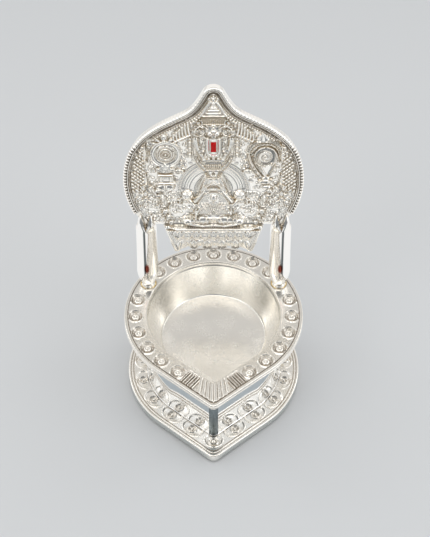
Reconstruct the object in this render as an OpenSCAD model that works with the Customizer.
// Leaf shaped oil lamp with two posts and a leaning, ornamented back plate.
// The front tip points to -Y, the floor is z = 0, lengths are millimetres.

/* [Leaf outline] */
// Radius of the round end of the base and of the rim
leaf_r = 33; // [30:0.5:37]
// Half of the angle at the front tip
tip_half_angle = 51; // [47:0.5:56]
// Height of the rim over the floor
rim_top = 36.6; // [30:0.1:44]

/* [Base] */
// Height of the base
base_h = 4; // [3:0.1:5.5]
// Thickness of the base's sheet
base_t = 1.2; // [0.8:0.05:1.6]
// Radius of the base's rolled top edge
base_round = 0.7; // [0.4:0.05:1]
// Distance of the engraved line from the base's edge
base_line_in = 1.5; // [1.1:0.05:2]
// Length of an oval boss as a share of the distance between two bosses
base_oval_share = 0.9; // [0.7:0.01:0.95]
// Width of an oval boss across the base's band
base_oval_w = 6.6; // [5.4:0.1:7.2]
// Diameter of the bud inside an oval boss
base_bud_d = 3.4; // [2.4:0.1:4]
// Number of spaces between bosses from the tip to the back
base_oval_steps = 9; // [8:1:9]

/* [Bowl] */
// Width of the flat rim
rim_w = 8.3; // [7.6:0.1:9.4]
// Thickness of the bowl's flange
flange_t = 1; // [0.8:0.05:1.3]
// Thickness of the bowl's wall
bowl_t = 0.9; // [0.7:0.05:1.2]
// Depth of the bowl under the rim
bowl_depth = 13.2; // [10:0.1:16]
// Radius of the bowl's floor
bowl_floor_r = 19.5; // [17:0.1:21]
// Radius between the bowl's wall and its floor
bowl_fillet = 1.6; // [1:0.1:2.4]

/* [Rim band] */
// Thickness of the ornamental band on the flange
band_t = 1.4; // [1.1:0.05:1.8]
// Outer diameter of a ring ornament
ring_d = 6; // [5.2:0.1:6.6]
// Width of the ridge of a ring ornament
ring_ridge_w = 0.9; // [0.6:0.05:1.1]
// Diameter of the bud in a ring ornament
ring_bud_d = 3; // [2.2:0.1:3.2]
// Number of ring ornaments on each side, from the back
ring_count = 10; // [9:1:10]
// Number of flutes at the front tip
flute_count = 7; // [5:2:9]

/* [Pedestal] */
// Thickness of the pedestal's wall
pedestal_t = 0.8; // [0.6:0.05:1.1]
// Width of the seam at the pedestal's foot
foot_seam = 0.5; // [0.3:0.05:0.8]

/* [Posts] */
// Distance of each post's axis inside the leaf's edge
post_in = 4.63; // [4.5:0.01:5]
// Angle of each post behind the bowl's middle
post_angle = 30.27; // [28:0.1:32]
// Diameter of the posts
post_d = 8; // [7:0.1:8.4]
// Diameter of the posts at the foot
post_foot_d = 5.4; // [4.8:0.1:6]
// Height at which the foot reaches the post's full diameter
post_knee_h = 10; // [8:0.1:13]
// Diameter of the screw in each post
screw_d = 2.6; // [2:0.1:2.8]
// Diameter of the screw's head
screw_head_d = 4.4; // [3.8:0.1:4.8]
// Length of the screw inside the post
screw_reach = 6; // [4:0.1:8]

/* [Back plate] */
// Angle by which the back plate leans back
lean = 10.6; // [6:0.1:13]
// How much less the plate's radius is than the leaf's
plate_in = 1; // [0:0.1:1.6]
// Height of the body's centre over the rim, along the plate
plate_centre_h = 47.7; // [46:0.1:52]
// Height of the peak over the body's centre as a share of the plate's radius
plate_peak_share = 1.253; // [1.21:0.001:1.37]
// Depth of the straight bottom edge under the centre as a share of the plate's radius
plate_cut_share = 0.606; // [0.58:0.001:0.625]
// Thickness of the plate
plate_t = 2; // [1.6:0.05:2.4]
// Radius of the peak as a share of the plate's radius
peak_share = 0.103; // [0.088:0.001:0.118]
// Height to which the posts' forks clasp the plate
clasp_h = 4.8; // [3.6:0.1:5.4]

/* [Border] */
// Width of the plate's raised border as a share of the plate's radius
border_share = 0.072; // [0.064:0.001:0.078]
// Height of the raised border over the plate
border_h = 1.2; // [0.8:0.05:1.6]
// Height of the relief's ground forms
relief_h = 1.1; // [0.8:0.05:1.5]

/* [Plinth] */
// Width of the lotus plinth at its top as a share of the plate's radius
plinth_top_share = 1.125; // [1.03:0.005:1.155]
// Width of the lotus plinth at its foot as a share of the plate's radius
plinth_foot_share = 0.9; // [0.81:0.005:0.97]
// Height of the lotus plinth as a share of the plate's radius
plinth_h_share = 0.35; // [0.31:0.005:0.39]
// Depth of the lotus plinth in front of the plate
plinth_depth = 3; // [2.4:0.05:3.6]
// Width of the plinth's plain side bands as a share of the plate's radius
plinth_side_share = 0.081; // [0.056:0.001:0.1]

/* [Emblems, as shares of the plate's radius] */
// Diameter of the wheel emblem
wheel_share = 0.356; // [0.31:0.002:0.368]
// Diameter of the shell emblem's coil
shell_share = 0.269; // [0.237:0.002:0.281]
// Width of the U shaped mark
mark_w_share = 0.169; // [0.15:0.001:0.181]
// Height of the U shaped mark
mark_h_share = 0.2125; // [0.194:0.001:0.225]
// Width of the red enamel at its foot
enamel_w_share = 0.0656; // [0.05:0.001:0.075]
// Height of the red enamel
enamel_h_share = 0.125; // [0.106:0.001:0.137]

/* [Seated figure] */
// Height of the seated figure with its crown as a share of the plate's radius
figure_share = 0.822; // [0.75:0.002:0.828]
// Depth of the seated figure in front of the plate
figure_depth = 4.6; // [4:0.1:5.2]

/* [Hidden] */

// Facets of round forms
$fn = 48;
// Straight steps on the leaf's round stretch
leaf_steps = 44;
// Amount by which a cut runs past the face that it opens
overrun = 0.5;
// Clearance between pieces that fit in each other
fit_gap = 0.1;

// The leaf outline for a radius of one: a round back and two tangents that meet at the tip
leaf_sweep = 180 + 2 * tip_half_angle;
leaf_unit = concat(
    [for (i = [0 : leaf_steps]) unit(i * leaf_sweep / leaf_steps - tip_half_angle)],
    [[0, -1 / sin(tip_half_angle)]]
);
// The lamp stands with the middle of its footprint on the origin
leaf_y = leaf_r * (1 / sin(tip_half_angle) - 1) / 2;

plate_r = leaf_r - plate_in;
opening_r = leaf_r - rim_w;
rim_t = flange_t + band_t;
flange_z = rim_top - rim_t;
band_z = rim_top - band_t;
floor_z = rim_top - bowl_depth;
wall_slope = (opening_r - bowl_floor_r) / bowl_depth;
wall_run = bowl_t * sqrt(1 + wall_slope * wall_slope);
pedestal_in_r = bowl_r(flange_z) + wall_run + fit_gap;
pedestal_r = pedestal_in_r + pedestal_t;
seam_r = pedestal_r + foot_seam;

// Heights and widths of the base's ornaments
base_line_w = 0.4;
base_line_deep = 0.3;
boss_ridge_w = 0.7;
boss_ridge_h = 0.5;
bud_h = 0.7;
base_row_r = leaf_r - base_line_in - base_line_w - (boss_ridge_w + base_oval_w) / 2;
base_row_length = leaf_row_length(base_row_r);
base_oval_l = base_oval_share * base_row_length / base_oval_steps;
tip_boss_share = 0.97;
tip_boss_w_share = 0.9;

// Heights and widths of the rim's ornaments
ring_ridge_h = 0.5;
ring_pocket_deep = 0.5;
ring_row_r = (leaf_r + opening_r) / 2;
tip_room_share = 2.726;
ring_pitch = (leaf_row_length(ring_row_r) - ring_d * tip_room_share) / ring_count;
post_ring = 4;
edge_line_in = 1.1;
edge_line_w = 0.35;
edge_line_deep = 0.3;
edge_round = 0.35;
bar_w = 0.5;
bar_pitch_shares = [0.55, 0.72, 0.9, 1.07, 1.25, 1.42];
flute_w = 0.8;
flute_h = 0.4;
flute_spread = 66;
flute_start_share = 1.6;
flute_bend_share = 0.9;

// The posts follow the plate's lean and stand on the rim
post_row_r = leaf_r - post_in;
post_x = post_row_r * cos(post_angle);
plate_foot_y = post_row_r * sin(post_angle);
plate_cut_h = plate_r * plate_cut_share;
post_foot_reach = post_d;
post_top_h = plate_centre_h - plate_cut_h + clasp_h;
// The foot's turned line: height as a share of the knee's height, growth from the foot's to the full radius
post_foot_shares = [[0.12, 0], [0.3, 0.16], [0.55, 0.45], [0.8, 0.8], [1, 1], [1.3, 1], [1.6, 0.91]];
// The tip's turned line: radius and place under the top as shares of the post's radius
post_tip_shares = [[0.95, -1.25], [0.93, -1], [0.66, -0.3], [0.2, 0]];
fork_notch_w = 3;
fork_notch_deep = 3.8;
hole_d = screw_d + 2 * fit_gap;
screw_head_h = 1.5;
screw_slot_w = 0.7;
screw_slot_deep = 0.6;

// The plate's outline: a round body, a shoulder, a hollow and a round peak
plate_peak_h = plate_r * plate_peak_share;
peak_r = plate_r * peak_share;
border_w = plate_r * border_share;
shoulder_angle = 17;
waist_shares = [0.539, 0.757];
waist_angle = 150.6;
peak_angle = 28;
shoulder_pull_share = 0.218;
hollow_pull_share = 0.296;
cut_angle = -asin(plate_cut_h / plate_r);
peak_centre = [0, plate_peak_h - peak_r];
peak_steps = 4;
plate_half = concat(
    arc([0, 0], plate_r, cut_angle, shoulder_angle, 16),
    curve(
        plate_r * unit(shoulder_angle), unit(shoulder_angle + 90),
        plate_r * waist_shares, unit(waist_angle),
        plate_r * shoulder_pull_share, 8),
    curve(
        plate_r * waist_shares, unit(waist_angle),
        peak_centre + peak_r * unit(peak_angle), unit(peak_angle + 90),
        plate_r * hollow_pull_share, 10),
    arc(peak_centre, peak_r, peak_angle + (90 - peak_angle) / peak_steps, 90, peak_steps - 1)
);
plate_outline = concat(plate_half, mirrored(plate_half));
// Shares of the border: its outer step and the row of beads on that step
border_step_share = 0.55;
border_step_h_share = 0.75;
border_bead_d = 1.05;
border_bead_h = 0.4;
border_bead_pitch = 1.2;
field_r = plate_r - border_w;

// Small gap between neighbouring forms of the relief
relief_gap = plate_r * 0.011;
// Pull of a petal's side curve as a share of its width
petal_pull_share = 0.72;
// The U shaped mark over the plate's field
mark_rise = 1.5;
mark_floor = 0.7;
mark_y = plate_r * 0.356;
mark_w = plate_r * mark_w_share;
mark_h = plate_r * mark_h_share;
enamel_w = plate_r * enamel_w_share;
enamel_h = plate_r * enamel_h_share;
mark_line_w = mark_w * 0.074;
mark_step_share = 0.6;
mark_pocket_in = mark_w * 0.24;
mark_bead_shares = [[-0.29, -0.21, 0.24, 1.2], [0, -0.21, 0.24, 1.2], [0.29, -0.21, 0.24, 1.2]];
mark_foot_shares = [0, -0.31, 1, 0.17, 0.5];
mark_petal_tip_shares = [-0.28, -1.05];
mark_petal_way = [-0.75, 0.65];
mark_petal_out_share = 0.36;
mark_petal_pull_share = 0.5;
mark_pocket_shares = [[-0.09, 0.22], [-0.06, 0], [-0.2, 0.05], [-0.25, 0.22]];
petal_pocket_h_share = 0.7;
enamel_proud = 0.3;
enamel_drop_share = 0.33;
enamel_taper_share = 0.78;

// Places on the plate as shares of its radius
wheel_shares = [-0.52, 0.362];
shell_shares = [0.566, 0.34];
crest_shares = [0, 0.7];
finial_foot_share = 0.857;
column_shares = [0.256, 0.31];
flower_shares = [0.757, -0.23];
paisley_shares = [0.55, -0.332];
lotus_shares = [0.29, -0.185];
aureole_share = -0.11;
scroll_shares = [0.315, 0.125];
garland_shares = [[0.53, -0.4], [0.5, -0.48], [0.47, -0.56]];
ribbon_shares = [[0.603, -0.356], [0.528, -0.569]];
roof_shares = [[0.415, 0.527], [0.25, 0.612]];
side_leaf_shares = [[0.745, 0.245], [0.74, -0.02]];

// Sizes of the small forms on the plate, which grow with it
wheel_d = plate_r * wheel_share;
shell_d = plate_r * shell_share;
flower_d = plate_r * 0.219;
flower_petals = 8;
lotus_d = plate_r * 0.1375;
column_w = plate_r * 0.0594;
column_h = plate_r * 0.269;
column_steps = 6;
crest_w = plate_r * 0.281;
comb_count = 11;
finial_w = plate_r * 0.2625;
finial_h = plate_r * 0.256;
feather_w = plate_r * 0.0235;
feather_pitch = plate_r * 0.0328;
feather_count = 6;
feather_l = plate_r * 0.156;
feather_lean = -0.1;
garland_bead_d = plate_r * 0.075;
ribbon_w = plate_r * 0.0156;
scale_bead_d = plate_r * 0.0313;
scale_pitch = plate_r * 0.039;
scale_row_share = 0.6;
scale_slant_share = 0.3;
scale_chord_share = 0.77;
scale_low_angle = -8;
side_leaf_w = plate_r * 0.0438;
side_leaf_lengths = plate_r * [0.269, 0.2];
paisley_l = plate_r * 0.175;
paisley_angle = -12;
hood_w = plate_r * 0.0531;
hood_angles = [12, 165];
hood_ribs = 12;
hood_rib_w = plate_r * 0.0141;
coil_turns = 2.2;
coil_w = plate_r * 0.0172;
aureole_radii = plate_r * [[0.2345, 0.253], [0.3, 0.319]];
aureole_angles = [12, 67];
aureole_rays = 7;
scroll_l = plate_r * 0.1;

// Tables of small forms. Places and sizes are shares of the piece's own size, the last share is of relief_h
// Domes: across, up, diameter, height
wheel_dome_shares = [[0, 0.58, 0.26, 1.4], [0, -1.2, 0.5, 1.3]];
shell_dome_shares = [[0.03, -0.95, 0.45, 1.3], [-0.03, -1.25, 0.65, 1.2], [0.05, -1.5, 0.55, 1.4]];
crest_nose_shares = [[0, -0.13, 0.3, 1.9], [0, 0.03, 0.2, 1.5]];
crest_side_shares = [
    [0.5, -0.2, 0.22, 1.5], [0.34, -0.12, 0.24, 1.2], [0.22, -0.26, 0.16, 1.3], [0.17, 0.09, 0.16, 1.7],
    [0.36, 0.07, 0.2, 1.4], [0.55, 0.24, 0.22, 1.4], [0.5, 0.06, 0.14, 1.1], [0.7, 0.42, 0.14, 1.2]];
flower_dome_shares = [[0, 0, 0.34, 1.6]];
lotus_dome_shares = [[0, 0, 1, 1.7], [0, 0.06, 0.4, 2.1]];
scroll_dome_shares = [[0, 0.25, 0.42, 1.3], [0.85, 0.12, 0.3, 1.1]];
finial_dome_shares = [[0, 0.76, 0.2, 1.6], [-0.14, 0.88, 0.13, 1.2], [0.14, 0.88, 0.13, 1.2]];
paisley_dome_shares = [[0, 0.34, 0.3, 1.5]];
garland_bead_shares = [[0, 0, 1, 1.4]];
// Petals: across, up, angle, width, length, height
wheel_petal_shares = [
    [-0.08, 0.5, 62, 0.14, 0.24, 1.2], [0.08, 0.5, -62, 0.14, 0.24, 1.2],
    [0, -0.75, -42, 0.21, 0.36, 1.2], [0, -0.75, 0, 0.21, 0.36, 1.2], [0, -0.75, 42, 0.21, 0.36, 1.2]];
lotus_petal_shares = [[0.22, -0.28, -130, 0.5, 0.8, 0.9], [0.1, -0.3, 178, 0.4, 0.55, 0.8]];
flower_crest_shares = [[-0.1, 0.43, 15, 0.24, 0.36, 1.3], [-0.3, 0.38, 45, 0.24, 0.36, 1.4]];
paisley_petal_shares = [[0, 0, 0, 0.62, 1, 0.7], [0, 0.14, 0, 0.4, 0.66, 1.1]];
scroll_petal_shares = [[0, 0, -80, 0.5, 1, 1], [0.1, 0.3, -20, 0.4, 0.5, 0.9]];
crest_petal_shares = [[0.36, 0.16, -35, 0.16, 0.3, 1.2]];
// Blocks: middle across, foot up, width, length, height
wheel_block_shares = [
    [0, -0.81, 0.48, 0.07, 1.4], [0, -1.06, 0.4, 0.25, 0.8],
    [-0.22, -1.1, 0.06, 0.24, 1.5], [0.22, -1.1, 0.06, 0.24, 1.5]];
crest_block_shares = [[0, 0.21, 0.84, 0.24, 0.7]];
finial_block_shares = [[0, 0.02, 0.9, 0.06, 1.5], [0, 0.2, 0.56, 0.05, 1.5], [0, 0.34, 0.42, 0.06, 1.5]];
// Bars: from, to, width, height
shell_bar_shares = [[[-0.62, -0.1], [-0.18, -1.03], 0.09, 1.2], [[-0.76, -0.1], [-0.36, -1.05], 0.08, 1]];
crest_bar_shares = [[[0.36, -0.38], [0.78, -0.31], 0.07, 1.2]];
// Outlines of turned or cut forms
wheel_section_shares = [
    [0, 0], [0.5, 0], [0.5, 0.7], [0.485, 1], [0.43, 1], [0.4, 0.6], [0.33, 0.6], [0.31, 1.1], [0.26, 1.1],
    [0.23, 0.8], [0.16, 0.8], [0.14, 1.3], [0.1, 1.3], [0.08, 1], [0.05, 1], [0.03, 1.5], [0, 1.6]];
shell_body_shares = [
    [-0.47, -0.17], [-0.41, -0.4], [-0.27, -0.66], [-0.14, -0.95], [0.16, -0.95], [0.3, -0.62], [0.44, -0.36], [0.47, -0.17]];
shell_head_share = 0.8;
shell_head_h_share = 1.5;
coil_h_share = 1.8;
comb_w_share = 0.05;
comb_pitch_share = 0.074;
comb_h_share = 1.2;
finial_step_shares = [[1, 0.5], [0.78, 0.85], [0.56, 1.2]];
finial_side_shares = [0.14, 0.62, 0.26];
hood_cap_shares = [-0.55, 3.1, 2.7, 1.3];
column_back_share = 0.4;
column_bead_shares = [0.92, 1, 1.5];
feather_roof_h_share = 1.2;
feather_fall_share = 0.3;
flower_back_shares = [0.8, 0.5];
flower_petal_shares = [0.16, 0.26, 0.34, 1.1];
scale_back_share = 0.3;
aureole_h_share = 0.5;
aureole_ray_share = 0.75;

// The lotus plinth: its ledge, lobes and petals. Heights are shares of its depth
plinth_top_w = plate_r * plinth_top_share;
plinth_foot_w = plate_r * plinth_foot_share;
plinth_h = plate_r * plinth_h_share;
plinth_side_w = plate_r * plinth_side_share;
plinth_ledge_h = 0.8;
plinth_lobe_shares = [0.36, 0.62, 0.98];
plinth_step_h_shares = [0.45, 0.7];
plinth_step_shares = [1.4, 0.5];
plinth_low_petal_shares = [0.47, 0.9, 0.36, 0.85];
plinth_high_petal_shares = [0.5, 0.85, 0.34, 0.95];
plinth_corner_shares = [0.8, 0.36, 62, 0.16, 0.36, 0.85];
plinth_side_h_share = 0.6;

// Chains of the figure: every joint has its place across and up as shares of the height,
// its place forward as a share of the depth, and its thickness as a share of the height
figure_side_shares = [
    [[0.1, 0.13, 0.28, 0.17], [0.38, 0.09, 0.4, 0.14]],
    [[0.36, 0.06, 0.52, 0.1], [-0.05, 0.045, 0.62, 0.08]],
    [[0.03, 0.16, 0.3, 0.16], [0.055, 0.32, 0.38, 0.17]],
    [[0.15, 0.365, 0.3, 0.09], [0.25, 0.39, 0.3, 0.06], [0.265, 0.435, 0.3, 0.05]],
    [[0.08, 0.61, 0.1, 0.08], [0.23, 0.47, 0.16, 0.07]]];
figure_left_shares = [[-0.13, 0.365, 0.42, 0.1], [-0.22, 0.25, 0.5, 0.075], [-0.24, 0.14, 0.95, 0.055]];
figure_right_shares = [[0.13, 0.365, 0.42, 0.1], [0.22, 0.25, 0.5, 0.075], [0.155, 0.32, 0.85, 0.055]];
figure_neck_shares = [[0, 0.37, 0.4, 0.1], [0, 0.455, 0.5, 0.09], [0, 0.52, 0.45, 0.14]];
crown_shares = [
    [0, 0], [0.12, 0], [0.13, 0.02], [0.12, 0.045], [0.11, 0.055], [0.115, 0.09], [0.095, 0.115],
    [0.1, 0.15], [0.08, 0.18], [0.085, 0.215], [0.066, 0.25], [0.06, 0.3], [0.066, 0.315],
    [0.09, 0.38], [0.088, 0.4], [0.05, 0.41], [0.035, 0.44], [0, 0.445]];
crown_place_shares = [0, 0.555, 0.25];
figure_h = plate_r * figure_share;
// The cones between two joints are this much thinner than the joints, so that the faces cross
limb_snug = 0.97;

// One direction as a point
function unit(a) = [cos(a), sin(a)];
// Points on an arc
function arc(c, r, a0, a1, n) = [for (i = [0 : n]) c + r * unit(a0 + (a1 - a0) * i / n)];
// Points on a smooth curve between two places, without its first place
function curve(p, p_way, q, q_way, pull, n) =
    [for (i = [1 : n]) let (t = i / n, s = 1 - t)
        s * s * s * p + 3 * s * s * t * (p + pull * p_way)
        + 3 * s * t * t * (q - pull * q_way) + t * t * t * q];
// The same points on the other side, in reverse order
function mirrored_side(pts) = [for (i = [len(pts) - 1 : -1 : 0]) [-pts[i][0], pts[i][1]]];
// The same without the middle one
function mirrored(pts) = [for (i = [len(pts) - 2 : -1 : 0]) [-pts[i][0], pts[i][1]]];
// The length run at each point of a path
function path_sums(pts) = [
    for (i = 0, sum = 0; i < len(pts); sum = sum + (i + 1 < len(pts) ? norm(pts[i + 1] - pts[i]) : 0), i = i + 1) sum];
// The place at a length along a path
function along(pts, sums, run) = let (i = max([for (k = [0 : len(pts) - 2]) if (sums[k] <= run) k]))
    pts[i] + (pts[i + 1] - pts[i]) * (run - sums[i]) / (sums[i + 1] - sums[i]);
// Points on an oval
function oval(w, l, n) = [for (i = [0 : n - 1]) let (a = 360 * i / n) [w * cos(a), l * sin(a)] / 2];
// A closed outline moved inwards by the same distance everywhere
function inset(pts, d) = let (n = len(pts)) [for (i = [0 : n - 1]) let (
        a = pts[i] - pts[(i + n - 1) % n],
        b = pts[(i + 1) % n] - pts[i],
        na = [-a[1], a[0]] / norm(a),
        nb = [-b[1], b[0]] / norm(b))
    pts[i] + d * (na + nb) / (1 + na * nb)];
// The inside radius of the bowl at a height
function bowl_r(z) = bowl_floor_r + wall_slope * (z - floor_z);
// The length of a row along the leaf from the back to the tip
function leaf_row_length(r) = r * (90 + tip_half_angle) * PI / 180 + r / tan(tip_half_angle);
// The place on a leaf row at a distance from the back, with its outward angle
function leaf_place(r, d) = let (
        round_length = r * (90 + tip_half_angle) * PI / 180,
        on_round = d < round_length,
        a = on_round ? 90 - d / r * 180 / PI : -tip_half_angle,
        run = on_round ? 0 : d - round_length)
    concat(r * unit(a) + run * unit(a - 90), [a]);

// A leaf shaped turning: the path runs up the outside, and closes on itself or ends in two flat leaves
module leaf_turn(path, closed = true) {
    n = len(leaf_unit);
    m = len(path);
    points = [for (p = path) for (u = leaf_unit) [p[0] * u[0], p[0] * u[1], p[1]]];
    last = closed ? m - 1 : m - 2;
    sides = [for (j = [0 : last]) for (i = [0 : n - 1]) let (
            a = j * n,
            b = ((j + 1) % m) * n,
            k = (i + 1) % n)
        each [[a + i, b + i, b + k], [a + i, b + k, a + k]]];
    caps = closed ? [] : [
        [for (i = [0 : n - 1]) i],
        [for (i = [n - 1 : -1 : 0]) (m - 1) * n + i]
    ];
    translate([0, leaf_y, 0]) polyhedron(points, concat(sides, caps));
}

// Puts a form on a leaf row, with its x axis pointing outwards, on the right or the left
module on_leaf(r, d, side = 1) {
    place = leaf_place(r, d);
    mirror([side < 0 ? 1 : 0, 0, 0])
        translate([place[0], place[1] + leaf_y, 0]) rotate([0, 0, place[2]]) children();
}

// Low round dome
module dome(d, h) {
    steps = 4;
    rotate_extrude($fn = 24)
        polygon(concat([[0, 0]], [for (i = [0 : steps]) [d / 2 * cos(90 * i / steps), h * sin(90 * i / steps)]]));
}

// Half round ring
module ring(d, w, h) {
    steps = 5;
    rotate_extrude($fn = 40)
        polygon([for (i = [0 : steps]) [d / 2 - w / 2 + w / 2 * cos(180 * i / steps), h * sin(180 * i / steps)]]);
}

// Oval ridge
module oval_ring(w, l, ridge, h) {
    linear_extrude(h) difference() {
        polygon(oval(w, l, 28));
        polygon(oval(w - 2 * ridge, l - 2 * ridge, 28));
    }
}

// Bar with round ends between two places
module bar(p, q, w, h) {
    way = q - p;
    translate([p[0], p[1], 0]) rotate([0, 0, atan2(way[1], way[0])]) {
        translate([0, -w / 2, 0]) cube([norm(way), w, h]);
        cylinder(d = w, h = h, $fn = 16);
        translate([norm(way), 0, 0]) cylinder(d = w, h = h, $fn = 16);
    }
}

// Pointed petal from its root towards +Y
module petal(w, l, h) {
    side = curve([0, 0], [1, 0], [0, l], [-0.5, 1], w * petal_pull_share, 7);
    linear_extrude(h) polygon(concat([[0, 0]], side, mirrored(side)));
}

// Puts a form on the front of the plate: x to the right, y up the plate, z to the front
module on_plate() {
    translate([0, leaf_y + plate_foot_y, rim_top])
        rotate([-lean, 0, 0]) translate([0, -plate_t / 2, plate_centre_h]) rotate([90, 0, 0]) children();
}

// The same form on the left or on the right
module on_side(side) {
    mirror([side < 0 ? 1 : 0, 0, 0]) children();
}

// The leaf shaped foot, open underneath, with a rolled edge and oval bosses
module base_plate() {
    edge_in = leaf_r - base_t;
    line_out = leaf_r - base_line_in;
    color("gainsboro") {
        leaf_turn([
            [edge_in, 0],
            [leaf_r, 0],
            [leaf_r, base_h - base_round],
            [leaf_r - base_round * (1 - cos(45)), base_h - base_round * (1 - sin(45))],
            [leaf_r - base_round, base_h],
            [edge_in, base_h]
        ]);
        difference() {
            translate([0, 0, base_h - base_t]) leaf_frame(edge_in, pedestal_in_r, base_t);
            translate([0, 0, base_h - base_line_deep])
                leaf_frame(line_out, line_out - base_line_w, base_line_deep + overrun);
        }
        translate([0, 0, base_h]) base_bosses();
    }
}

module base_bosses() {
    sink = base_t / 2;
    difference() {
        translate([0, 0, -sink]) {
            for (side = [-1, 1]) for (i = [0 : base_oval_steps - 1])
                on_leaf(base_row_r, i * base_row_length / base_oval_steps, side)
                    if (i > 0 || side > 0) oval_ring(base_oval_w, base_oval_l, boss_ridge_w, boss_ridge_h + sink);
            tip_boss() oval_ring(base_oval_l * tip_boss_w_share, base_oval_w, boss_ridge_w, boss_ridge_h + sink);
        }
        translate([0, 0, -sink - overrun]) leaf_solid(seam_r + fit_gap, boss_ridge_h + 2 * sink + 2 * overrun);
    }
    translate([0, 0, -sink]) {
        for (side = [-1, 1]) for (i = [0 : base_oval_steps - 1])
            on_leaf(base_row_r, i * base_row_length / base_oval_steps, side)
                if (i > 0 || side > 0) translate([boss_ridge_w, 0, 0]) dome(base_bud_d, bud_h + sink);
        tip_boss() dome(base_bud_d, bud_h + sink);
    }
}

module tip_boss() {
    translate([0, leaf_y - tip_boss_share * base_row_r / sin(tip_half_angle), 0]) children();
}

module leaf_solid(r, h) {
    translate([0, leaf_y, 0]) linear_extrude(h) polygon([for (u = leaf_unit) r * u]);
}

// Flat frame between two leaf outlines
module leaf_frame(out_r, in_r, h) {
    translate([0, leaf_y, 0]) linear_extrude(h) difference() {
        polygon([for (u = leaf_unit) out_r * u]);
        polygon([for (u = leaf_unit) in_r * u]);
    }
}

// The upright leaf shaped wall between base and bowl
module pedestal() {
    color("whitesmoke") leaf_turn([
        [pedestal_in_r, base_h],
        [seam_r, base_h],
        [seam_r - foot_seam * (1 - cos(60)), base_h + foot_seam * (1 - sin(30))],
        [pedestal_r, base_h + foot_seam],
        [pedestal_r, flange_z],
        [pedestal_in_r, flange_z]
    ]);
}

// The bowl with its flange, which carries the ornamental band
module bowl() {
    out_floor_z = floor_z - bowl_t;
    knee_z = floor_z + bowl_fillet;
    knee_r = bowl_r(knee_z);
    color("silver") difference() {
        leaf_turn([
            [bowl_floor_r - bowl_fillet, out_floor_z],
            [bowl_floor_r - bowl_fillet * (1 - sin(45)), out_floor_z + bowl_fillet * (1 - cos(45))],
            [knee_r + wall_run, knee_z],
            [bowl_r(flange_z) + wall_run, flange_z],
            [leaf_r - edge_round, flange_z],
            [leaf_r, flange_z + edge_round],
            [leaf_r, band_z - edge_round],
            [leaf_r - edge_round, band_z],
            [bowl_r(band_z), band_z],
            [knee_r, knee_z],
            [knee_r - bowl_fillet * (1 - cos(45)), floor_z + bowl_fillet * (1 - sin(45))],
            [bowl_floor_r - bowl_fillet, floor_z]
        ], closed = false);
        post_holes(flange_z, flange_t);
    }
}

// The two screw holes under the posts
module post_holes(z, t) {
    for (side = [-1, 1])
        translate([side * post_x, leaf_y + plate_foot_y, z - overrun]) cylinder(d = hole_d, h = t + 2 * overrun);
}

// The ornamental band on the flange, with ring ornaments, bars and flutes
module rim_band() {
    line_out = leaf_r - edge_line_in;
    line_in = line_out - edge_line_w;
    color("seashell") {
        difference() {
            leaf_turn([
                [bowl_r(band_z), band_z],
                [leaf_r - edge_round, band_z],
                [leaf_r, band_z + edge_round],
                [leaf_r, rim_top - edge_round],
                [leaf_r - edge_round, rim_top],
                [line_out, rim_top],
                [line_out, rim_top - edge_line_deep],
                [line_in, rim_top - edge_line_deep],
                [line_in, rim_top],
                [opening_r + edge_round, rim_top],
                [opening_r, rim_top - edge_round]
            ]);
            translate([0, 0, rim_top - ring_pocket_deep]) rim_rings() cylinder(
                d = ring_d - 2 * ring_ridge_w, h = ring_pocket_deep + overrun);
            post_holes(band_z, band_t);
        }
        translate([0, 0, rim_top - ring_pocket_deep]) rim_rings() dome(ring_bud_d, ring_pocket_deep + bud_h / 2);
        translate([0, 0, rim_top]) rim_rings() ring(ring_d, ring_ridge_w, ring_ridge_h);
        translate([0, 0, rim_top]) tip_bars();
        translate([0, 0, rim_top]) tip_flutes();
    }
}

// Every place of a ring ornament, apart from the two under the posts
module rim_rings() {
    for (side = [-1, 1]) for (i = [0 : ring_count])
        if (i != post_ring && (i > 0 || side > 0)) on_leaf(ring_row_r, i * ring_pitch, side) children();
}

module tip_bars() {
    bar_l = rim_w - 2 * edge_line_in - 2 * edge_round - 2 * bar_w;
    for (side = [-1, 1]) for (share = bar_pitch_shares)
        on_leaf(ring_row_r, ring_count * ring_pitch + share * ring_d, side)
            translate([-bar_l / 2, -bar_w / 2, 0]) cube([bar_l, bar_w, flute_h]);
}

module tip_flutes() {
    hub_y = leaf_y - opening_r / sin(tip_half_angle);
    flute_l = (leaf_r - edge_line_in - edge_line_w - opening_r) / sin(tip_half_angle) - 2 * flute_w;
    for (i = [0 : flute_count - 1]) {
        a = flute_spread * (i / (flute_count - 1) - 1 / 2);
        translate([0, hub_y, 0]) rotate([0, 0, a - 90])
            bar([flute_w * flute_start_share, 0], [flute_l * cos(a * flute_bend_share), 0], flute_w, flute_h);
    }
}

// One post, a turned form that narrows to its foot and ends in a fork
module post(side) {
    foot_r = post_foot_d / 2;
    r = post_d / 2;
    below = -post_foot_reach * sin(lean) - overrun;
    slot_w = plate_t + 2 * fit_gap;
    color("lightgray") difference() {
        post_axis(side) rotate_extrude() polygon(concat(
            [[0, below], [foot_r, below]],
            [for (s = post_foot_shares) [foot_r + s[1] * (r - foot_r), s[0] * post_knee_h]],
            [for (s = post_tip_shares) [s[0] * r, post_top_h + s[1] * r]],
            [[0, post_top_h]]));
        floor_cut();
        translate([side * post_x, leaf_y + plate_foot_y, rim_top - overrun])
            cylinder(d = hole_d, h = screw_reach + overrun + fit_gap);
        post_axis(side) translate([-post_d, -slot_w / 2, post_top_h - clasp_h - fit_gap])
            cube([2 * post_d, slot_w, clasp_h + 2 * overrun]);
        post_axis(side) fork_notch();
    }
}

// Everything under the rim's top
module floor_cut() {
    translate([-leaf_r, -leaf_r, 0]) cube([2 * leaf_r, 3 * leaf_r, rim_top]);
}

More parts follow.
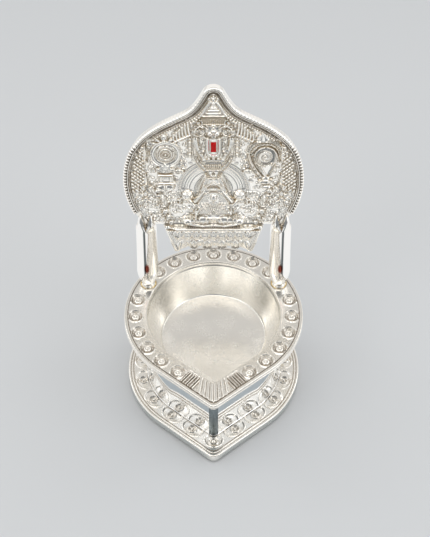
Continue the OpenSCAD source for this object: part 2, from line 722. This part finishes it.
module fork_notch() {
    translate([0, post_d, post_top_h - fork_notch_deep]) rotate([90, 0, 0]) linear_extrude(2 * post_d)
        polygon([[0, 0], [fork_notch_w / 2, fork_notch_deep + overrun], [-fork_notch_w / 2, fork_notch_deep + overrun]]);
}

module post_axis(side) {
    translate([side * post_x, leaf_y + plate_foot_y, rim_top]) rotate([-lean, 0, 0]) children();
}

module left_post() { post(-1); }
module right_post() { post(1); }

// The screw that holds a post from under the rim
module post_screw(side) {
    translate([side * post_x, leaf_y + plate_foot_y, flange_z]) color("darkgray") difference() {
        union() {
            translate([0, 0, -screw_head_h]) cylinder(d = screw_head_d, h = screw_head_h);
            cylinder(d = screw_d, h = rim_t + screw_reach);
        }
        translate([-screw_head_d, -screw_slot_w / 2, -screw_head_h - overrun])
            cube([2 * screw_head_d, screw_slot_w, screw_slot_deep + overrun]);
    }
}

module left_post_screw() { post_screw(-1); }
module right_post_screw() { post_screw(1); }

// The onion shaped plate with the tongue behind the plinth
module back_plate() {
    color("antiquewhite") on_plate() translate([0, 0, -plate_t]) linear_extrude(plate_t) union() {
        polygon(plate_outline);
        polygon(tongue());
    }
}

function tongue() = let (top = -plate_cut_h, foot = -plate_cut_h - plinth_h + border_h) [
    [-plinth_top_w / 2 + border_h, top + border_w], [-plinth_top_w / 2 + border_h, top],
    [-plinth_foot_w / 2 + border_h, foot], [plinth_foot_w / 2 - border_h, foot],
    [plinth_top_w / 2 - border_h, top], [plinth_top_w / 2 - border_h, top + border_w]];

// The raised border round the plate with its row of beads, which ends above the posts' forks
module beaded_border() {
    step_h = border_h * border_step_h_share;
    foot = -plate_cut_h + clasp_h + fit_gap;
    row = inset(plate_outline, border_w * border_step_share / 2);
    half = [for (i = [0 : len(plate_half) - 1]) row[i]];
    sums = path_sums(half);
    count = floor(sums[len(half) - 1] / border_bead_pitch);
    color("white") on_plate() {
        difference() {
            union() {
                linear_extrude(step_h) polygon(plate_outline);
                linear_extrude(border_h) polygon(inset(plate_outline, border_w * border_step_share));
            }
            translate([0, 0, -overrun]) linear_extrude(border_h + 2 * overrun) polygon(inset(plate_outline, border_w));
            translate([-plate_r, foot - plate_r, -overrun]) cube([2 * plate_r, plate_r, border_h + 2 * overrun]);
        }
        for (side = [-1, 1]) for (i = [0 : count]) {
            place = along(half, sums, sums[len(half) - 1] - i * border_bead_pitch);
            if (place[1] > foot + border_bead_d && (i > 0 || side > 0))
                translate([side * place[0], place[1], step_h - border_bead_h])
                    cylinder(d1 = border_bead_d, d2 = border_bead_d / 2, h = 2 * border_bead_h, $fn = 16);
        }
    }
}

// The lotus throne under the figure, with side bands and two rows of petals
module lotus_plinth() {
    top = plinth_top_w / 2;
    foot = plinth_foot_w / 2;
    lobe = (plinth_foot_w - 2 * plinth_side_w) / 4;
    lobe_y = -plinth_h + lobe * plinth_lobe_shares[0];
    low = plinth_low_petal_shares;
    high = plinth_high_petal_shares;
    step_x = foot - plinth_side_w * plinth_step_shares[0];
    step_y = -plinth_h * plinth_step_shares[1];
    color("linen") on_plate() translate([0, -plate_cut_h - fit_gap, 0]) {
        linear_extrude(plinth_depth * plinth_step_h_shares[0]) union() {
            polygon([[-top, 0], [-foot, -plinth_h], [-foot + lobe, lobe_y], [foot - lobe, lobe_y], [foot, -plinth_h], [top, 0]]);
            for (i = [0 : 3]) translate([(i - 3 / 2) * lobe, -plinth_h + lobe * plinth_lobe_shares[1]])
                circle(d = lobe * plinth_lobe_shares[2], $fn = 32);
        }
        linear_extrude(plinth_depth * plinth_step_h_shares[1])
            polygon([[-top + plinth_side_w, 0], [-step_x, step_y], [step_x, step_y], [top - plinth_side_w, 0]]);
        translate([-top + plinth_side_w, -plinth_ledge_h, 0])
            cube([2 * (top - plinth_side_w), plinth_ledge_h, plinth_depth]);
        for (i = [0 : 3]) translate([(i - 3 / 2) * lobe, -plinth_h * low[0], 0]) rotate([0, 0, 180])
            petal(lobe * low[1], plinth_h * low[2], plinth_depth * low[3]);
        for (i = [0 : 4]) translate([(i - 2) * lobe, -plinth_h * high[0], 0])
            petal(lobe * high[1], plinth_h * high[2], plinth_depth * high[3]);
        for (side = [-1, 1]) on_side(side) {
            translate([foot * plinth_corner_shares[0], -plinth_h * plinth_corner_shares[1], 0])
                rotate([0, 0, -plinth_corner_shares[2]]) petal(
                    plinth_h * plinth_corner_shares[3], plinth_h * plinth_corner_shares[4], plinth_depth * plinth_corner_shares[5]);
            linear_extrude(plinth_depth * plinth_side_h_share) polygon([
                [top, 0], [top - plinth_side_w / 2, 0], [foot - plinth_side_w / 2, -plinth_h + plinth_side_w / 2],
                [foot, -plinth_h]]);
        }
    }
}

// The place of a joint of the figure
function joint_place(joint, side) = [side * joint[0] * figure_h, joint[1] * figure_h, joint[2] * figure_depth];

// A chain of round limbs through its joints
module limbs(joints, side = 1) {
    for (joint = joints) translate(joint_place(joint, side)) sphere(d = joint[3] * figure_h);
    for (i = [1 : len(joints) - 1]) {
        start = joint_place(joints[i - 1], side);
        way = joint_place(joints[i], side) - start;
        start_r = joints[i - 1][3] * figure_h / 2;
        end_r = joints[i][3] * figure_h / 2;
        taper = asin((start_r - end_r) / norm(way));
        translate(start) rotate([0, acos(way[2] / norm(way)), atan2(way[1], way[0])])
            translate([0, 0, start_r * sin(taper)]) cylinder(
                r1 = start_r * cos(taper) * limb_snug, r2 = end_r * cos(taper) * limb_snug,
                h = norm(way) - (start_r - end_r) * sin(taper));
    }
}

// The seated figure: crossed legs, four arms, a plain oval head and a tall tiered crown
module seated_figure() {
    color("silver") on_plate() translate([0, -plate_cut_h + relief_gap, 0]) intersection() {
        union() {
            for (side = [-1, 1]) for (joints = figure_side_shares) limbs(joints, side);
            limbs(figure_left_shares);
            limbs(figure_right_shares);
            limbs(figure_neck_shares);
            translate(joint_place(crown_place_shares, 1)) rotate([-90, 0, 0])
                rotate_extrude() polygon(figure_h * crown_shares);
        }
        translate([-figure_h / 2, 0, 0]) cube([figure_h, 2 * figure_h, 2 * figure_depth]);
    }
}

// Forms from a table of shares
module domes(table, size) {
    for (s = table) translate([s[0] * size, s[1] * size, 0]) dome(s[2] * size, s[3] * relief_h);
}
module petals(table, size) {
    for (s = table) translate([s[0] * size, s[1] * size, 0]) rotate([0, 0, s[2]])
        petal(s[3] * size, s[4] * size, s[5] * relief_h);
}
module blocks(table, size) {
    for (s = table) translate([(s[0] - s[2] / 2) * size, s[1] * size, 0])
        cube([s[2] * size, s[3] * size, s[4] * relief_h]);
}
module bars(table, size) {
    for (s = table) bar(s[0] * size, s[1] * size, s[2] * size, s[3] * relief_h);
}

// Puts a form on the plate at a share of its radius, on the left or on the right
module on_field(shares, side = 1) {
    on_plate() on_side(side) translate(concat(plate_r * shares, [0])) children();
}

// The lotus bud at the figure's upper hand, with its curled leaf
module hand_lotus(side) {
    color("white") on_field(lotus_shares, side) {
        domes(lotus_dome_shares, lotus_d);
        petals(lotus_petal_shares, lotus_d);
    }
}

module left_hand_lotus() { hand_lotus(-1); }
module right_hand_lotus() { hand_lotus(1); }

// The rayed arch behind the figure's head, with a scroll beside it
module aureole(side) {
    h = relief_h * aureole_h_share;
    step = (aureole_angles[1] - aureole_angles[0]) / aureole_rays;
    color("white") {
        on_field([0, aureole_share], side) {
            for (radii = aureole_radii) linear_extrude(h) polygon(concat(
                arc([0, 0], radii[1], aureole_angles[0], aureole_angles[1], 14),
                arc([0, 0], radii[0], aureole_angles[1], aureole_angles[0], 14)));
            for (i = [0 : aureole_rays - 1]) {
                way = unit(aureole_angles[0] + (i + 1 / 2) * step);
                bar(way * aureole_radii[0][0] + way * relief_gap, way * aureole_radii[1][0] + way * relief_gap,
                    relief_gap, h * aureole_ray_share);
            }
        }
        on_field(scroll_shares, side) {
            petals(scroll_petal_shares, scroll_l);
            domes(scroll_dome_shares, scroll_l);
        }
    }
}

module left_aureole() { aureole(-1); }
module right_aureole() { aureole(1); }

// The wheel emblem with its knob, on its lotus and stand
module wheel_emblem() {
    color("silver") on_field(wheel_shares) {
        rotate_extrude() polygon([for (s = wheel_section_shares) [s[0] * wheel_d, s[1] * relief_h]]);
        domes(wheel_dome_shares, wheel_d);
        petals(wheel_petal_shares, wheel_d);
        blocks(wheel_block_shares, wheel_d);
    }
}

// A flat spiral ribbon
module coil(r, w, turns, h) {
    steps = 20 * turns;
    out = [for (i = [0 : steps]) let (t = i / steps) (w + (r - w) * t) * unit(360 * turns * t - 90)];
    inn = [for (i = [steps : -1 : 0]) let (t = i / steps) (r - w) * t * unit(360 * turns * t - 90)];
    linear_extrude(h) polygon(concat(out, inn));
}

// The shell emblem: a spiral head that narrows to its stem, with two ribbons beside it
module shell_emblem() {
    color("silver") on_field(shell_shares) {
        linear_extrude(relief_h) union() {
            circle(d = shell_d);
            polygon(shell_d * shell_body_shares);
        }
        dome(shell_d * shell_head_share, relief_h * shell_head_h_share);
        coil(shell_d / 2 - coil_w / 2, coil_w, coil_turns, relief_h * coil_h_share);
        domes(shell_dome_shares, shell_d);
        bars(shell_bar_shares, shell_d);
    }
}

// The ribbed hood over the shell, with its pointed cap
module shell_hood() {
    in_r = shell_d / 2 + relief_gap * 2;
    out_r = in_r + hood_w;
    step = (hood_angles[1] - hood_angles[0]) / hood_ribs;
    color("silver") on_field(shell_shares) {
        linear_extrude(relief_h) polygon(concat(
            arc([0, 0], out_r, hood_angles[0], hood_angles[1], 20), arc([0, 0], in_r, hood_angles[1], hood_angles[0], 20)));
        for (i = [0 : hood_ribs - 1]) {
            way = unit(hood_angles[0] + (i + 1 / 2) * step);
            bar(way * (in_r + hood_rib_w), way * (out_r - hood_rib_w), hood_rib_w, relief_h + hood_rib_w);
        }
        translate([hood_w * hood_cap_shares[0], out_r - hood_w / 3, 0])
            petal(hood_w * hood_cap_shares[1], hood_w * hood_cap_shares[2], relief_h * hood_cap_shares[3]);
    }
}

// Outline of the U shaped mark, made smaller by a margin
function u_outline(margin) = let (r = mark_w / 2 - margin) concat(
    [[-r, mark_h - margin - mark_w / 2]], arc([0, 0], r, 180, 360, 16), [[r, mark_h - margin - mark_w / 2]]);

// The U shaped mark with a pocket for the enamel and three beads at its foot
module u_mark() {
    color("white") on_plate() {
        translate([0, mark_y + mark_w / 2, 0]) difference() {
            union() {
                linear_extrude(mark_rise * mark_step_share) polygon(u_outline(0));
                linear_extrude(mark_rise) polygon(u_outline(mark_line_w));
            }
            translate([0, 0, mark_floor]) linear_extrude(mark_rise) polygon(u_outline(mark_pocket_in));
        }
        translate([0, mark_y, 0]) {
            blocks([mark_foot_shares], mark_w);
            domes(mark_bead_shares, mark_w);
        }
    }
}

// The red enamel bar in the mark's pocket
module red_enamel() {
    low = -enamel_h * enamel_drop_share;
    high = low + enamel_h;
    half = enamel_w / 2;
    color("crimson") on_plate() translate([0, mark_y + mark_w / 2, mark_floor])
        linear_extrude(mark_rise - mark_floor + enamel_proud) polygon([
            [-half, low], [half, low], [half * enamel_taper_share, high], [-half * enamel_taper_share, high]]);
}

// A petal that curls up beside the mark
module mark_petal(side) {
    r = mark_w / 2 + relief_gap;
    tip = mark_w * mark_petal_tip_shares;
    top = mark_h - mark_w / 2 - relief_gap;
    out_curve = curve(tip, mark_petal_way, [-r - mark_w * mark_petal_out_share, top], [0.12, 1],
        mark_w * mark_petal_pull_share, 8);
    color("white") on_plate() on_side(-side) translate([0, mark_y + mark_w / 2, 0]) difference() {
        linear_extrude(relief_h) polygon(concat([[-r, top]], arc([0, 0], r, 180, 246, 8), [tip], out_curve));
        translate([-r, 0, relief_h * petal_pocket_h_share]) linear_extrude(relief_h) polygon(mark_w * mark_pocket_shares);
    }
}

module left_mark_petal() { mark_petal(-1); }
module right_mark_petal() { mark_petal(1); }

// A lion mask with round eyes, cheeks, whiskers and a combed mane
module lion_crest() {
    comb = crest_block_shares[0];
    color("white") on_field(crest_shares) {
        domes(crest_nose_shares, crest_w);
        for (side = [-1, 1]) on_side(side) {
            domes(crest_side_shares, crest_w);
            bars(crest_bar_shares, crest_w);
            petals(crest_petal_shares, crest_w);
        }
        blocks(crest_block_shares, crest_w);
        blocks([for (i = [0 : comb_count - 1])
            [(i - (comb_count - 1) / 2) * comb_pitch_share, comb[1], comb_w_share, comb[3], comb_h_share]], crest_w);
    }
}

// The bell shaped finial in the plate's peak
module peak_finial() {
    bend = finial_side_shares;
    color("white") on_field([0, finial_foot_share]) {
        for (step = finial_step_shares) {
            w = finial_w * step[0];
            side = curve([w / 2, 0], [0, 1], [w * bend[0], finial_h * bend[1]], [-0.25, 1], finial_h * bend[2], 8);
            linear_extrude(relief_h * step[1]) polygon(concat([[w / 2, 0]], side, mirrored_side(side), [[-w / 2, 0]]));
        }
        blocks(finial_block_shares, finial_w);
        domes(finial_dome_shares, finial_h);
    }
}

// A narrow column of stacked beads
module bead_column(side) {
    step = column_h / column_steps;
    color("white") on_field(column_shares, side) {
        translate([-column_w / 2, 0, 0]) cube([column_w, column_h, relief_h * column_back_share]);
        for (i = [0 : column_steps - 1]) translate([0, (i + 1 / 2) * step, 0])
            dome(step * column_bead_shares[0], relief_h * column_bead_shares[1 + i % 2]);
    }
}

module left_bead_column() { bead_column(-1); }
module right_bead_column() { bead_column(1); }

// The ribs under the plate's shoulder, on their slanted roof line
module feather_band(side) {
    foot = plate_r * roof_shares[0];
    head = plate_r * roof_shares[1];
    way = (foot - head) / norm(foot - head);
    color("white") on_plate() on_side(side) {
        bar(foot, head, feather_w, relief_h * feather_roof_h_share);
        for (i = [0 : feather_count - 1]) {
            start = head + way * feather_pitch * (i + 1) + [0, feather_w];
            bar(start, start + [feather_lean, 1] * (feather_l - i * feather_w * feather_fall_share), feather_w, relief_h);
        }
    }
}

module left_feather_band() { feather_band(-1); }
module right_feather_band() { feather_band(1); }

// The band of scale like beads beside the border, with two upright leaves inside it
module scale_band(side) {
    r = field_r - relief_gap;
    chord = plate_r * scale_chord_share;
    top_angle = acos(chord / r);
    low = r * sin(scale_low_angle);
    rows = floor((r * sin(top_angle) - low) / scale_pitch);
    color("white") {
        on_plate() on_side(side) {
            linear_extrude(relief_h * scale_back_share) polygon(concat(
                arc([0, 0], r, scale_low_angle, top_angle, 14), [[chord, low]]));
            for (i = [0 : rows - 1]) for (k = [0 : 3]) {
                place = [chord + scale_pitch * (k + scale_row_share),
                    low + scale_pitch * (i + scale_row_share + k * scale_slant_share)];
                if (norm(place) < r - scale_bead_d / 2) translate(place) dome(scale_bead_d, relief_h);
            }
        }
        for (i = [0, 1]) on_field(side_leaf_shares[i], side) petal(side_leaf_w, side_leaf_lengths[i], relief_h);
    }
}

module left_scale_band() { scale_band(-1); }
module right_scale_band() { scale_band(1); }

// A round flower with two leaves over it
module flower(side) {
    leaf = flower_petal_shares;
    color("white") on_field(flower_shares, side) {
        cylinder(d = flower_d * flower_back_shares[0], h = relief_h * flower_back_shares[1]);
        domes(flower_dome_shares, flower_d);
        petals(flower_crest_shares, flower_d);
        for (i = [0 : flower_petals - 1]) rotate([0, 0, 360 * i / flower_petals])
            translate([0, flower_d * leaf[0], 0]) petal(flower_d * leaf[1], flower_d * leaf[2], relief_h * leaf[3]);
    }
}

module left_flower() { flower(-1); }
module right_flower() { flower(1); }

// A drop shaped leaf beside the flower
module paisley(side) {
    color("white") on_field(paisley_shares, side) rotate([0, 0, paisley_angle]) {
        petals(paisley_petal_shares, paisley_l);
        domes(paisley_dome_shares, paisley_l);
    }
}

module left_paisley() { paisley(-1); }
module right_paisley() { paisley(1); }

// A garland of beads and a ribbon that hang beside the figure
module garland(side) {
    ends = plate_r * ribbon_shares;
    color("white") {
        for (place = garland_shares) on_field(place, side) domes(garland_bead_shares, garland_bead_d);
        on_plate() on_side(side) bar(ends[0], ends[1], ribbon_w, relief_h);
    }
}

module left_garland() { garland(-1); }
module right_garland() { garland(1); }

base_plate();
pedestal();
bowl();
rim_band();
left_post();
right_post();
left_post_screw();
right_post_screw();
back_plate();
beaded_border();
lotus_plinth();
seated_figure();
left_hand_lotus();
right_hand_lotus();
left_aureole();
right_aureole();
wheel_emblem();
shell_emblem();
shell_hood();
u_mark();
red_enamel();
left_mark_petal();
right_mark_petal();
lion_crest();
peak_finial();
left_bead_column();
right_bead_column();
left_feather_band();
right_feather_band();
left_scale_band();
right_scale_band();
left_flower();
right_flower();
left_paisley();
right_paisley();
left_garland();
right_garland();
